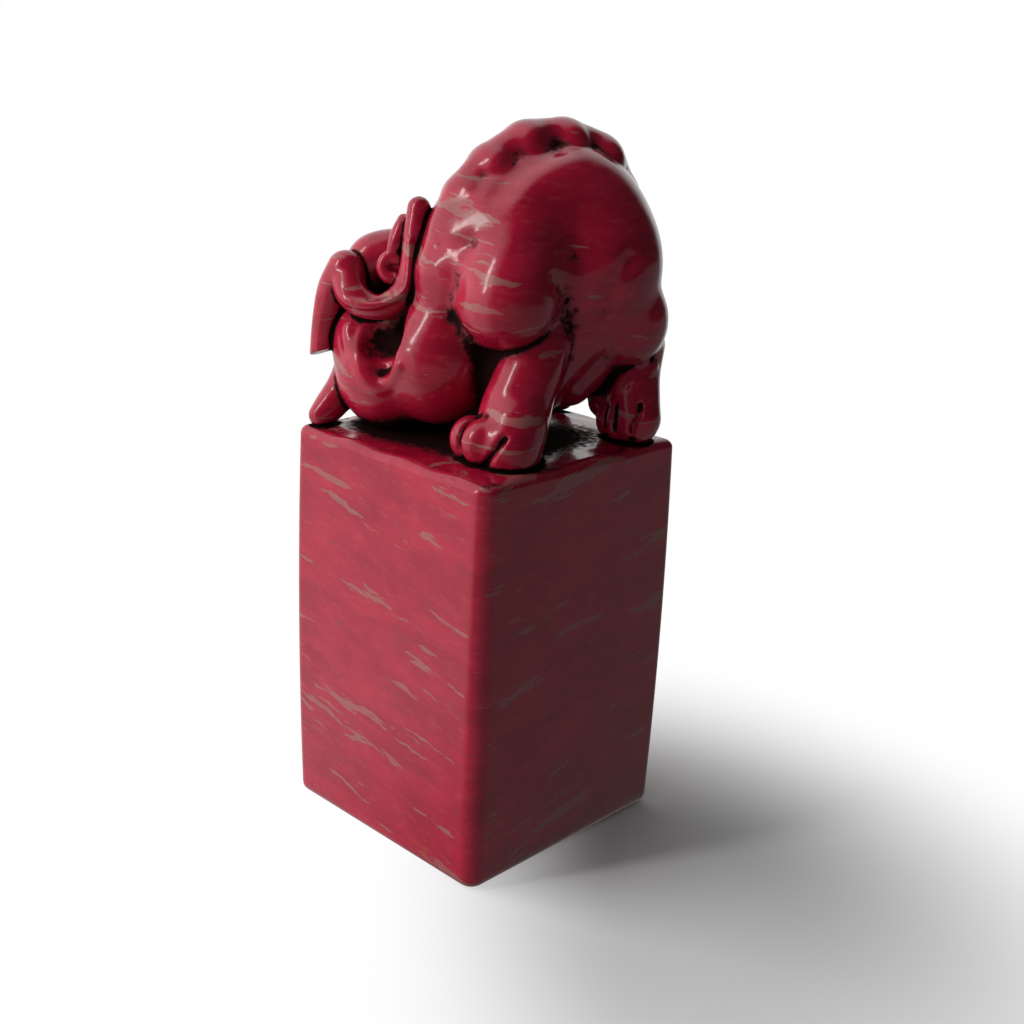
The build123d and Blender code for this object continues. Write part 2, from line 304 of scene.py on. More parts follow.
def model_neck_and_head(clay):
    """A limb for the neck, and eggs for skull, cheek and temple."""
    clay.limb(spots(NECK_PIXELS), radii=[6.6, 6.4, 6.6, 7.6, 9.0], soft=4)
    clay.egg(SKULL, radii=(10.9, 12.3, 11.5), soft=5)
    clay.egg(spot(*CHEEK_PIXEL), radii=(8.6, 8.6, 10.6), soft=5)
    clay.egg(spot(*TEMPLE_PIXEL), radii=(5.6, 5.6, 7.0), soft=3)


# %% [markdown]
# The beast turns its head back along its far side, so this part isn't in the photo. A short broad
# snout, a nose, a jaw, a brow over a round eye, a leaf ear and curls of mane behind the cheek are what
# such a guardian beast has.
# %% Face
SNOUT, JAW, NOSE, EYE = (-17.6, 1.6, 8.8), (-17.0, 1.4, 4.2), (-18.0, 8.0, 10.4), (-21.6, -3.4, 14.4)
BROW = [(-22.4, -8.5, 16.5), (-23.0, -4.0, 18.4), (-20.6, 0.6, 17.4)]
LOWER_LID = [(-22.6, -6.6, 12.2), (-23.4, -3.4, 11.5), (-21.8, 0.2, 12.4)]
NOSTRILS = [(-20.6, 10.4, 10.0), (-15.6, 10.4, 10.0)]
MOUTH = [(-22.8, -3.0, 7.0), (-23.0, 0.5, 5.9), (-22.2, 4.0, 6.2), (-19.6, 8.4, 6.6), (-15, 9.4, 6.6)]
EAR_LEAF = [(-21.8, -9.6, 12.8), (-23.2, -10.6, 16.5), (-22.4, -10.4, 20.5)]
EAR_FOLD = [(-24.6, -10.8, 14.2), (-25.0, -10.9, 16.8), (-24.2, -10.6, 19.2)]
MANE_CURLS = [((-22.6, -7.6, 8.6), 2.5), ((-22.6, -10.0, 4.6), 2.4), ((-22.6, -4.8, 4.0), 2.2)]
CURL_THICK, CURL_DEEP, CURL_POINTS = 1.9, 1.75, 9
CURL_ANGLES, CURL_START, CURL_GROWTH = (0.4, 2.1 * np.pi), 0.15, 0.6


def model_face(clay):
    """Eggs for snout, jaw, nose and eye, limbs for brow, lid and ear, and cuts for nostrils, mouth and
    the ear's fold."""
    clay.egg(SNOUT, radii=(5.4, 7.6, 5.6), soft=2.5)
    clay.egg(JAW, radii=(4.6, 6.6, 3.4), soft=0.8)
    clay.egg(NOSE, radii=(4.0, 2.6, 2.5), soft=0.8)
    clay.limb(BROW, radii=[1.5, 2.0, 1.5], soft=1.0)
    clay.egg(EYE, radii=(2.6, 3.0, 2.6), soft=0.3)
    clay.limb(LOWER_LID, radii=[0.9, 1.0, 0.8], soft=0.6)
    for nostril in NOSTRILS:
        clay.egg(nostril, radii=(0.9, 1.2, 0.8), soft=0.3, cut=True)
    clay.limb(MOUTH, radii=[0.5, 0.6, 0.6, 0.6, 0.6], soft=0.3, cut=True)
    clay.limb(EAR_LEAF, radii=[2.0, 2.3, 0.9], soft=0.8)
    clay.limb(EAR_FOLD, radii=[0.7, 1.0, 0.5], soft=0.5, cut=True)
    for middle, size in MANE_CURLS:
        curl(clay, middle, size)


def curl(clay, middle, size):
    """A flat spiral of mane that faces the far side: a boss with one turn of groove, whose distance
    from the middle grows evenly with its angle. The groove follows the boss's own round."""
    clay.egg(middle, radii=(CURL_THICK, size, size), soft=0.5)
    turn = np.linspace(*CURL_ANGLES, CURL_POINTS)
    reach = size * (CURL_START + CURL_GROWTH * turn / turn[-1])
    groove = np.column_stack([middle[0] - CURL_DEEP + (reach / size) ** 2,
                              middle[1] + reach * np.cos(turn), middle[2] + reach * np.sin(turn)])
    clay.limb(groove, radii=np.full(CURL_POINTS, 0.4), soft=0.3, cut=True)


# %% [markdown]
# Legs and feet. Each leg is a limb that thins to the ankle. The toes are eggs that melt into one paw,
# and a groove is cut between each two, as a carver does it.
# %% Toes
TOE_MIDDLE, TOE_LENGTH = 0.92, 1.25
GROOVE_REACHES, GROOVE_HEIGHTS = (-0.7, 0.25, 1.0, 1.15), (2.05, 1.8, 1.1, 0.1)
GROOVE_RADII = [0.3, 0.6, 0.65, 0.65]


def model_toes(clay, toes, soft=1.0):
    """Each toe is an egg on the block: its place, its half width, and its half height. A groove between
    neighbours runs over the paw and down its front."""
    for x, y, wide, tall in toes:
        clay.egg((x, y, tall * TOE_MIDDLE), radii=(wide, wide * TOE_LENGTH, tall), soft=soft)
    for one, other in zip(np.array(toes[:-1]), np.array(toes[1:])):
        x, y, wide, tall = (one + other) / 2
        across = unit(other[:2] - one[:2])
        groove = [(x + across[1] * wide * reach, y - across[0] * wide * reach, tall * height)
                  for reach, height in zip(GROOVE_REACHES, GROOVE_HEIGHTS)]
        clay.limb(groove, radii=GROOVE_RADII, soft=0.3, cut=True)


# %% [markdown]
# The near foreleg comes down from the elbow to a broad paw, which is the nearest thing to the camera.
# Of the far one only the end of a shin shows, below the horn.
# %% Forelegs
NEAR_FORELEG_PIXELS = [(537, 335, -15), (531, 367, -17), (523, 389, -17.8), (515, 409, -18.2),
                       (508, 430, -18.2)]
NEAR_ANKLE_PIXELS = [(517, 415, -17.5), (512, 450, -18)]
NEAR_PAW, NEAR_PAW_FRONT = [(14.0, -9, 2.5), (14.0, -12.5, 2.4)], (14.2, -13.6, 2.6)
NEAR_FORE_TOES = [(10.8, -15.0, 3.2, 4.0), (14.6, -15.6, 3.4, 4.2)]
PAW_SIDE, PAW_SIDE_LEG = (18.0, -13.0, 3.8), [(17.6, -10.5, 6.5), (18.2, -12.6, 2.5)]
FAR_SHIN = [(-21.4, -13.6, 13), (-21.8, -16.5, 7), (-22.0, -19.8, 3.4), (-22.2, -22.0, 1.8)]


def model_forelegs(clay):
    """Limbs for leg, ankle and paw, two toes in front and a third, broad one at the side. The far leg
    is a bare shin that ends on the block."""
    clay.limb(spots(NEAR_FORELEG_PIXELS), radii=[6.4, 5.9, 5.9, 6.0, 5.8], soft=1.4)
    clay.limb(spots(NEAR_ANKLE_PIXELS), radii=[5.9, 5.4], soft=1.5)
    clay.limb(NEAR_PAW, radii=[5.8, 5.2], soft=1.5)
    clay.egg(NEAR_PAW_FRONT, radii=(6.4, 4.6, 3.4), soft=1.0)
    model_toes(clay, NEAR_FORE_TOES, soft=0.5)
    clay.egg(PAW_SIDE, radii=(4.6, 5.0, 4.6), soft=2.5)
    clay.limb(PAW_SIDE_LEG, radii=[5.4, 5.2], soft=2.0)
    clay.limb(FAR_SHIN, radii=[3.4, 3.3, 3.0, 2.3], soft=1.2)


# %% [markdown]
# The near hind leg is short under its heavy haunch, and folds of skin join it to the belly. The far
# one isn't in the photo. It stands a little further back, so that light shows between the legs.
# %% Hind legs
NEAR_HIND_PIXELS = [(637, 345, -2.5), (634, 372, -2.5), (633, 398, -3.2), (635, 418, -4)]
THIGH_WEB_PIXELS = [(608, 343, 0), (601, 366, 1), (595, 383, 2)]
SHIN_WEB_PIXELS = [(612, 358, 0), (606, 385, 0), (604, 402, -0.5)]
NEAR_HIND_TOES = [(16.7, 15.8, 2.5, 3.7), (19.8, 15.4, 2.9, 3.9), (22.3, 17.8, 2.8, 3.7)]
FAR_HIND_LEG = [(-8, 17, 22), (-11.5, 18.8, 12), (-12.2, 18.5, 4)]
FAR_HIND_PAW = [(-12, 19, 2.5), (-12.5, 15.5, 2.5)]
FAR_HIND_TOES = [(-16.3, 14.2, 2.9, 3.0), (-12.3, 13.2, 3.1, 3.2), (-8.4, 14.4, 2.9, 3.0)]


def model_hind_legs(clay):
    """A limb and three toes for each leg, and two webs of skin in front of the near one."""
    clay.limb(spots(NEAR_HIND_PIXELS), radii=[5.2, 4.9, 5.0, 4.8], soft=1.2)
    clay.limb(spots(THIGH_WEB_PIXELS), radii=[5.2, 4.6, 2.8], soft=2)
    clay.limb(spots(SHIN_WEB_PIXELS), radii=[4.0, 3.6, 3.0], soft=2)
    model_toes(clay, NEAR_HIND_TOES)
    clay.limb(FAR_HIND_LEG, radii=[7, 5.2, 5], soft=3)
    clay.limb(FAR_HIND_PAW, radii=[5.0, 4.6], soft=1.5)
    model_toes(clay, FAR_HIND_TOES)


# %% [markdown]
# The tail runs down the middle of the rump and hangs between the hind legs. Its tip curls on the
# block to the far side, low enough that light still shows under the belly.
# %% Tail
TAIL = [(9.6, 22.2, 43), (7.6, 23.6, 36), (5.0, 23.2, 28), (3.2, 21.6, 18), (1.0, 21.0, 8),
        (-0.5, 22.0, 2.4), (-4.5, 22.6, 1.3), (-8, 21.4, 1.4)]


def model_tail(clay):
    """One limb that thins to its tip."""
    clay.limb(TAIL, radii=[2.3, 2.5, 2.6, 2.4, 1.9, 1.6, 1.2, 1.0], soft=1.0)


# %% [markdown]
# The backbone is a row of knobs from the nape over the crest to the root of the tail, each wider
# across the back than along it. A shallow valley parts them from the near flank.
# %% Backbone
KNOB_PIXELS = [(453, 227, -17), (466, 199, -16.4), (492, 171, -15.2), (527, 149, -13.6),
               (563, 145, -11.5), (598, 160, -9)]
TAIL_ROOT = (10.2, 21.4, 44.4)
KNOB_RADII = np.array([4.2, 4.5, 4.9, 5.1, 4.9, 4.8, 3.6])
KNOB_SHAPE, KNOB_TURN, RIDGE_UNDER = np.array([1.3, 0.88, 1.0]), (0, 0, -15), 0.4
VALLEY_PIXELS = [(556, 142), (540, 149), (522, 160), (507, 173), (496, 188)]


def model_backbone(clay):
    """A ridge a little thinner than its knobs, an egg for each knob, and the valley's cut."""
    places = [*spots(KNOB_PIXELS), TAIL_ROOT]
    clay.limb(places, radii=KNOB_RADII - RIDGE_UNDER, soft=2.0)
    for place, radius in zip(places, KNOB_RADII):
        clay.egg(place, radii=radius * KNOB_SHAPE, soft=1.3, turn=KNOB_TURN)
    clay.line_cut(VALLEY_PIXELS, wide=4.4, soft=4.4, deep=-2.7)


# %% [markdown]
# The ear is a hollow with a crisp rim, turned to the camera under the horn. Three eggs are cut out:
# a wide one above, a narrow one below, and a deep one towards the cheek.
# %% Ear
EAR_WIDE, EAR_NARROW, EAR_DEEP = (380, 336), (379, 366), (398, 324)
WIDE_AHEAD, NARROW_AHEAD, DEEP_AHEAD = -1.5, -1.6, 2
EAR_RIM = [(349, 328), (350, 343), (358, 360), (364, 376), (377, 386), (389, 382), (400, 366)]


def model_ear(clay):
    """Three cut eggs at the pixels where the clay shows, and a bead round them."""
    wide, narrow, deep = clay.seen([EAR_WIDE, EAR_NARROW, EAR_DEEP])
    clay.egg(wide + camera_forward * WIDE_AHEAD, radii=(4.9, 5.3, 5.0), soft=1.5, cut=True)
    clay.egg(narrow + camera_forward * NARROW_AHEAD, radii=(2.9, 3.3, 3.4), soft=1.5, cut=True)
    clay.egg(deep + camera_forward * DEEP_AHEAD, radii=(3.0, 4.0, 3.4), soft=0.8, cut=True)
    clay.line_bead(EAR_RIM, wide=2.2, soft=1.8, deep=0.8)


# %% [markdown]
# The horn hangs from a round knob as a tube with a sawn end, and runs on from the knob as a band that
# loops down and up again to the nape. A ridge runs along the band. Behind it a pointed lock and a
# small curl lie in the loop.
# %% Horn
HORN_KNOB, TUBE_END, TUBE_PIXELS = (346, 269, -7), (320.5, 352, -3), [(325, 322, -4), (333, 290, -6)]
PAST_TUBE_END, TUBE_SLANT = (0, 0, -2), 0.25
BAND_PIXELS = [(347, 272, -7), (354, 296, -9.5), (378, 307.5, -11), (402, 294, -12), (412, 268, -12.5),
               (415, 235, -13), (419, 208, -13)]
RIDGE_PIXELS = [(339, 282, -10), (346, 299, -12.0), (366, 305.5, -13.4), (386, 302.5, -14.2),
                (405, 290, -14.8), (409, 268, -15.0), (410, 240, -15.2)]
LOCK_PIXELS = [(404, 220, -11.5), (400, 234, -11.5), (394, 248, -11.5), (391, 256, -11)]
RING_PIXELS = [(398, 259, -11), (388, 258, -11), (382.5, 267, -11), (388, 277, -11), (398, 278, -11)]


def model_horn(clay):
    """A limb each for tube, band, ridge, lock and ring. A slanting plane saws off the tube."""
    tube_end = spot(*TUBE_END)
    tube = [tube_end + PAST_TUBE_END, *spots(TUBE_PIXELS), spot(*HORN_KNOB)]
    clay.limb(tube, radii=[2.1, 2.4, 2.9, 3.5], soft=0.3,
              end=(tube_end, camera_right * TUBE_SLANT - camera_up))
    clay.limb(spots(BAND_PIXELS), radii=[3.4, 2.9, 2.3, 2.3, 2.25, 2.1, 2.1], soft=0.5)
    clay.limb(spots(RIDGE_PIXELS), radii=[0.5, 0.7, 0.7, 0.6, 0.6, 0.5, 0.4], soft=1.4)
    clay.limb(spots(LOCK_PIXELS), radii=[1.2, 1.7, 1.3, 0.6], soft=0.3)
    clay.limb(spots(RING_PIXELS), radii=[1.3, 1.3, 1.2, 1.2, 1.2], soft=0.3)


# %% [markdown]
# Last come the fine cuts that part toe from toe, the folds of skin at groin, haunch, nape and neck,
# and two tendons on the hind foot. They follow lines of pixels on the finished clay.
# %% Creases
TOE_GROOVES = [[(505, 439), (497, 449), (489, 459), (484, 467)],
               [(616, 407), (614.5, 420), (613.5, 431)], [(641, 405), (638, 416), (631, 431)]]
GROIN_FOLD = [(560, 284), (569, 296), (574, 312), (575, 330)]
HAUNCH_FOLD = [(634, 262), (620, 284), (611, 304), (608, 318)]
TENDONS = [[(644, 362), (634, 371), (624, 380), (618, 388)], [(653, 366), (644, 376), (634, 388)]]
NAPE_FOLD = [(434, 246), (443, 248), (454, 248), (468, 243)]
NECK_FOLD = [(450, 318), (458, 329), (470, 340)]


def model_creases(clay):
    """Cuts that lie on the skin for grooves, and above it and softer for folds. Beads for tendons."""
    for groove in TOE_GROOVES:
        clay.line_cut(groove, wide=1.3, soft=0.3, deep=0.2)
    clay.line_cut(GROIN_FOLD, wide=2.6, soft=3.4, deep=-1.5)
    clay.line_cut(HAUNCH_FOLD, wide=3.0, soft=3.6, deep=-1.7)
    for tendon in TENDONS:
        clay.line_bead(tendon, wide=1.6, soft=1.6, deep=0.5)
    clay.line_cut(NAPE_FOLD, wide=2.2, soft=3.0, deep=-1.3)
    clay.line_cut(NECK_FOLD, wide=2.0, soft=2.6, deep=-0.8)


# %% [markdown]
# The whole carving is these steps in a carver's order, from the rough body to the creases. It is
# modelled a little past the block's top and then sawn off flat, so that the feet stand on the stone.
# %% The whole carving
CLAY_HALF, CLAY_UNDER, CLAY_OVER = 27, 1.6, 2
CARVER_STEPS = [model_trunk, model_shoulders, model_neck_and_head, model_face, model_forelegs,
                model_hind_legs, model_tail, model_backbone, model_ear, model_horn, model_creases]


def model_beast(step):
    """The beast's clay, on a grid with this step in millimetres."""
    low = (-CLAY_HALF, -CLAY_HALF, -CLAY_UNDER)
    clay = Clay(low, (CLAY_HALF, CLAY_HALF, BEAST_HEIGHT + CLAY_OVER), step)
    for carve in CARVER_STEPS:
        carve(clay)
    clay.saw(place=(0, 0, 0), direction=(0, 0, -1))
    return clay


# %% [markdown]
# The clay's skin is where the distance is zero. Each small cube of the grid that the skin crosses gets
# one corner point, at the mean of the places where the skin crosses the cube's edges, and each grid
# edge that it crosses gets a face between the four cubes round it. The points are then pulled along
# the slope of the distance until they lie on the skin itself.
# %% The skin
def crossing_cubes(field):
    """The grid cubes with corners both inside and outside the skin, and one point in each: the mean
    over the cube's edges of the place a / (a - b), where the distance goes from a to b through zero."""
    inside = field < 0
    shape = np.array(field.shape) - 1
    filled = np.zeros(shape, np.int8)
    for corner in np.ndindex(2, 2, 2):
        filled += inside[tuple(slice(c, c + n) for c, n in zip(corner, shape))]
    cubes = np.argwhere((filled > 0) & (filled < 8))
    total, count = np.zeros((len(cubes), 3)), np.zeros(len(cubes))
    for corner in np.ndindex(2, 2, 2):
        for axis in np.flatnonzero(np.array(corner) == 0):
            start, stop = cubes + corner, cubes + corner
            stop = stop + np.eye(3, dtype=int)[axis]
            a, b = field[tuple(start.T)], field[tuple(stop.T)]
            crossed = (a < 0) != (b < 0)
            total[crossed] += corner
            total[crossed, axis] += (a / np.where(crossed, a - b, 1))[crossed]
            count += crossed
    return inside, cubes, cubes + total / count[:, None]


def crossing_faces(inside, cubes):
    """One face for each grid edge that the skin crosses, joining the four cubes round that edge, and
    turned so that it looks away from the inner end."""
    number = np.full(np.array(inside.shape) - 1, -1)
    number[tuple(cubes.T)] = np.arange(len(cubes))
    faces = []
    for axis in range(3):
        side, other = (axis + 1) % 3, (axis + 2) % 3
        ends = np.moveaxis(inside, axis, 0)
        edges = np.argwhere(ends[:-1] != ends[1:])
        inner = ends[tuple(edges.T)]
        places = np.empty_like(edges)
        places[:, axis] = edges[:, 0]
        places[:, [i for i in range(3) if i != axis]] = edges[:, 1:]
        ring = []
        for back_side, back_other in [(1, 1), (0, 1), (0, 0), (1, 0)]:
            step = np.zeros(3, int)
            step[side], step[other] = back_side, back_other
            ring.append(number[tuple((places - step).T)])
        ring = np.stack(ring, 1)
        faces.append(np.where(inner[:, None], ring, ring[:, ::-1]))
    return np.vstack(faces)


SKIN_PULLS, LEAST_SLOPE = 3, 0.2


def skin(clay):
    """The clay's points in millimetres over the block's top, and its faces. A pull moves a point back
    along the slope by the distance there over the slope's square."""
    inside, cubes, spots = crossing_cubes(clay.field)
    points = clay.low + clay.step * spots
    for _ in range(SKIN_PULLS):
        slope = clay.slope(points)
        points -= slope * (clay.at(points) / np.maximum((slope ** 2).sum(1), LEAST_SLOPE))[:, None]
    return points, crossing_faces(inside, cubes)


QUICK_STEP, FINE_STEP = 1.0, 0.43
SKIN_STEP = FINE_STEP
clay = model_beast(SKIN_STEP)
beast_points, beast_faces = skin(clay)
print(f"the carving has {len(beast_faces)} faces")

# %% [markdown]
# Dirt and old wax settle in creases, and hands polish what stands proud. To know where, the stone is
# written on the grid as 1 inside and 0 outside, and blurred. On a flat skin half of what is near is
# stone, in a crease more, on a ridge less. Every point of both pieces keeps that number, and a second
# one from a wider blur, which is high wherever the beast shelters the stone. The material turns the
# first into dark crease colour, partly dirt and partly painted shade, and the second into painted
# shade under and round the beast.
# %% Creases and ridges
CREASE_REACH, SHELTER_REACH, TOP_REACH, BLUR_ROUNDS = 0.9, 4.5, 9.0, 2


def blurred(values, reach):
    """A running mean along each axis: the difference of two sums, over twice the reach."""
    for _ in range(BLUR_ROUNDS):
        for axis in range(3):
            pad = [(reach + 1, reach) if i == axis else (0, 0) for i in range(3)]
            total = np.cumsum(np.pad(values, pad, mode="edge"), axis=axis)
            wide = 2 * reach + 1
            first = [slice(None)] * 3
            last = [slice(None)] * 3
            first[axis], last[axis] = slice(0, -wide), slice(wide, None)
            values = (total[tuple(last)] - total[tuple(first)]) / wide
    return values


def stone_near(clay, reach):
    """A grid of how much of what is near is stone. The block fills all that is under its top."""
    filled = (clay.field < 0).astype(np.float32)
    over_block = (abs(clay.axes[0][:, None]) < HALF) & (abs(clay.axes[1][None, :]) < HALF)
    filled[:, :, clay.axes[2] < 0] = over_block[:, :, None]
    near = Clay(clay.low, clay.low, clay.step)
    near.low, near.axes = clay.low, clay.axes
    near.field = blurred(filled, max(1, round(reach / clay.step)))
    return near


near_stone, wide_stone = stone_near(clay, CREASE_REACH), stone_near(clay, SHELTER_REACH)
beast_crease, beast_shelter = near_stone.at(beast_points), wide_stone.at(beast_points)
print(f"creases read from {beast_crease.min():.2f} to {beast_crease.max():.2f}")

# %% [markdown]
# A mesh is made from whole arrays: the points, the faces, and the crease and shelter numbers as
# attributes that the material can read. The points go in as they are, so the object stays at the
# origin.
# %% A piece from arrays
def make_piece(name, points, faces, crease, shelter):
    """A mesh object with its points in metres, from millimetres in the model's frame. It rides on the
    one body."""
    mesh = bpy.data.meshes.new(name)
    mesh.from_pydata(points * MM, [], faces.tolist())
    for label, values in (("crease", crease), ("shelter", shelter)):
        numbers = mesh.attributes.new(label, "FLOAT", "POINT")
        numbers.data.foreach_set("value", values.astype(np.float32))
    mesh.shade_smooth()
    mesh.validate()
    piece = bpy.data.objects.new(name, mesh)
    bpy.context.scene.collection.objects.link(piece)
    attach(piece, "root")
    return piece


beast = make_piece("carved_beast", beast_points + (0, 0, TOP), beast_faces, beast_crease, beast_shelter)
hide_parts("beast")

# %% [markdown]
# The block is a square shaft with rounded uprights, of which the near one is worn most, and worn
# edges at top and bottom. It is six grids that share their borders. Lines of the grid crowd into the
# corners, where the surface turns.
# %% The block's grid
UPRIGHT_RADIUS, NEAR_RADIUS, TOP_RADIUS, SEAL_RADIUS, LEAST_RADIUS = 1.4, 3.2, 1.8, 2.4, 0.05
SIDE_LINES, CORNER_LINES, SHAFT_LINES, ARRIS_LINES = 120, 6, 48, 6


def grid_lines():
    """Places across the block: even on the flat, and by equal angles round the uprights."""
    flat = HALF - NEAR_RADIUS
    turn = NEAR_RADIUS * np.tan(np.linspace(0, np.pi / 4, CORNER_LINES + 1))[1:]
    return np.concatenate([-flat - turn[::-1], np.linspace(-flat, flat, SIDE_LINES), flat + turn])


def rounded(x, y, inset=0.0):
    """A square's point moved to the square with round corners, inset millimetres inside it. Past the
    corner's centre the point keeps its direction, and its distance is the larger of its two parts.
    The near upright is worn rounder than the others."""
    radius = np.where((x > 0) & (y < 0), NEAR_RADIUS, UPRIGHT_RADIUS)
    flat = HALF - radius
    core_x, core_y = np.clip(x, -flat, flat), np.clip(y, -flat, flat)
    out_x, out_y = x - core_x, y - core_y
    square = np.maximum(abs(out_x), abs(out_y))
    share = square / np.maximum(np.hypot(out_x, out_y), TINY)
    share = share * np.maximum(radius - inset, LEAST_RADIUS) / radius
    past = np.maximum(inset - radius + LEAST_RADIUS, 0)
    core_x, core_y = core_x * (1 - past / HALF), core_y * (1 - past / HALF)
    return core_x + out_x * share, core_y + out_y * share


def shaft_rows():
    """Heights and insets from the seal face up: a quarter circle, the shaft, a quarter circle."""
    turn = np.linspace(0, np.pi / 2, ARRIS_LINES + 1)
    low_z, low_in = SEAL_RADIUS * (1 - np.sin(turn)), SEAL_RADIUS * (1 - np.cos(turn))
    high_z, high_in = TOP - TOP_RADIUS * (1 - np.sin(turn)), TOP_RADIUS * (1 - np.cos(turn))
    shaft = np.linspace(SEAL_RADIUS, TOP - TOP_RADIUS, SHAFT_LINES)[1:-1]
    return (np.concatenate([low_z[::-1], shaft, high_z]),
            np.concatenate([low_in[::-1], 0 * shaft, high_in]))


def grid_faces(rows, columns, turned_over=False):
    """Faces of a grid whose points are numbered row by row."""
    number = np.arange(rows * columns).reshape(rows, columns)
    faces = np.stack([number[:-1, :-1], number[:-1, 1:], number[1:, 1:], number[1:, :-1]], -1)
    faces = faces.reshape(-1, 4)
    return faces[:, ::-1] if turned_over else faces


# %% [markdown]
# The seal face isn't in the photo, so it carries a plain traditional rosette: a ring with eight
# petals round an eye, a leaf in each corner and a border. Each shape is a distance, and the lands
# stand proud where the smallest distance is below zero.
# %% The seal face
RELIEF_DEPTH, SEAL_MARGIN, SEAL_LINE = 0.8, 2.2, 1.8
ROSETTE_RADIUS, EYE_RADIUS, LEAF_RADIUS = 16.5, 3.2, 6.5
PETAL_COUNT, PETAL_WIDTH, PETAL_GAP, WALL_WIDTH = 8, 6.0, 1.6, 0.25


def relief(x, y):
    """How deep the seal face is cut at a point: nothing on the lands, the full depth between, and a
    steep wall at their edges. Border, ring, leaf and eye are a distance less a width, and a petal is
    where two discs overlap."""
    far = np.hypot(x, y)
    border = HALF - SEAL_MARGIN - SEAL_LINE
    edge = border - np.maximum(abs(x), abs(y))
    ring = abs(far - ROSETTE_RADIUS + SEAL_LINE / 2) - SEAL_LINE / 2
    leaf = np.hypot(abs(x) - border, abs(y) - border) - LEAF_RADIUS
    start, end = EYE_RADIUS + PETAL_GAP, ROSETTE_RADIUS - SEAL_LINE - PETAL_GAP
    length, width = (end - start) / 2, PETAL_WIDTH / 2
    disc = (length ** 2 + width ** 2) / (2 * width)
    step = 2 * np.pi / PETAL_COUNT
    angle = (np.arctan2(y, x) + step / 2) % step - step / 2
    along, across = far * np.cos(angle) - (start + end) / 2, far * np.sin(angle)
    petal = np.hypot(along, abs(across) + disc - width) - disc
    nearest = np.minimum.reduce([edge, ring, leaf, petal, far - EYE_RADIUS])
    return RELIEF_DEPTH * np.clip(nearest / WALL_WIDTH + 0.5, 0, 1)


# %% [markdown]
# The six grids are four sides, the top and the seal face. Their borders have the same points, so
# points that agree to a ten-thousandth of a millimetre are made one, and the block is closed.
# %% The block's points and faces
SAME_PLACE_DIGITS = 4


def make_block():
    """The block's points in millimetres, and its faces."""
    lines = grid_lines()
    heights, insets = shaft_rows()
    across, tall = np.meshgrid(lines, heights)
    inset = np.meshgrid(lines, insets)[1]
    patches, faces, count = [], [], 0
    for side_x, side_y in [(1, 0), (0, 1), (-1, 0), (0, -1)]:
        x = side_x * HALF - side_y * across
        y = side_y * HALF + side_x * across
        x, y = rounded(x, y, inset)
        patches.append(np.stack([x, y, tall], -1).reshape(-1, 3))
        faces.append(grid_faces(*across.shape) + count)
        count += across.size
    for height, radius, turned_over in [(TOP, TOP_RADIUS, False), (0.0, SEAL_RADIUS, True)]:
        x, y = rounded(*np.meshgrid(lines, lines), radius)
        z = np.full(x.shape, height) + (relief(x, y) if turned_over else 0)
        patches.append(np.stack([x, y, z], -1).reshape(-1, 3))
        faces.append(grid_faces(*x.shape, turned_over) + count)
        count += x.size
    points = np.vstack(patches)
    points, number = np.unique(np.round(points, SAME_PLACE_DIGITS), axis=0, return_inverse=True)
    return points, number.ravel()[np.vstack(faces)]


block_points, block_faces = make_block()
print(f"the block has {len(block_faces)} faces")

# %% [markdown]
# The sides swell by half a millimetre at most, as stone does that was lapped by hand, and the top's
# edge waves a little where the carver cleared the ground round the beast. The top darkens where the
# beast is near, and everywhere a little, partly dirt and partly painted shade.
# %% The block's wear
ARRIS_WAVE, WAVE_TURNS, WAVE_START, ARRIS_BAND = 0.22, (0.46, 0.37), 1, 0.2
FLAT_CREASE, FLAT_SHELTER, TOP_GRIME_AND_SHADE, TOP_FADE = 0.5, 0.4, 0.11, 1


def swell(points):
    """The sides go out by BULGE at half height, less the square of the share of the way to an end."""
    out = BULGE * (1 - (2 * points[:, 2] / TOP - 1) ** 2)
    points[:, :2] *= 1 + (out / HALF)[:, None]


def wave_arris(points):
    """The top's edge goes down by the product of two sines, in a band that fades inwards and down."""
    far_out = np.clip((abs(points[:, :2]).max(1) / HALF - (1 - ARRIS_BAND)) / ARRIS_BAND, 0, 1)
    high_up = np.clip((points[:, 2] - TOP) / TOP_RADIUS + 1, 0, 1)
    along_x, along_y = points[:, 0] * WAVE_TURNS[0], points[:, 1] * WAVE_TURNS[1] + WAVE_START
    points[:, 2] -= ARRIS_WAVE * (1 + np.sin(along_x) * np.sin(along_y)) * far_out * high_up


swell(block_points)
wave_arris(block_points)
top_share = np.clip((block_points[:, 2] - TOP) / TOP_FADE + 1, 0, 1)
top_places = np.clip(block_points - (0, 0, TOP), 1 - CLAY_HALF, CLAY_HALF - 1)
block_crease = FLAT_CREASE + (near_stone.at(top_places) - FLAT_CREASE) * top_share
# The top's shelter number, plus a small share everywhere, becomes dirt and painted shade under and
# round the beast.
top_shelter = stone_near(clay, TOP_REACH).at(top_places) + TOP_GRIME_AND_SHADE
block_shelter = FLAT_SHELTER + (top_shelter - FLAT_SHELTER) * top_share
block = make_piece("seal_shaft", block_points, block_faces, block_crease, block_shelter)
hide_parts("seal_block")
print(f"the block's creases read up to {block_crease.max():.2f}, its shelter {block_shelter.max():.2f}")

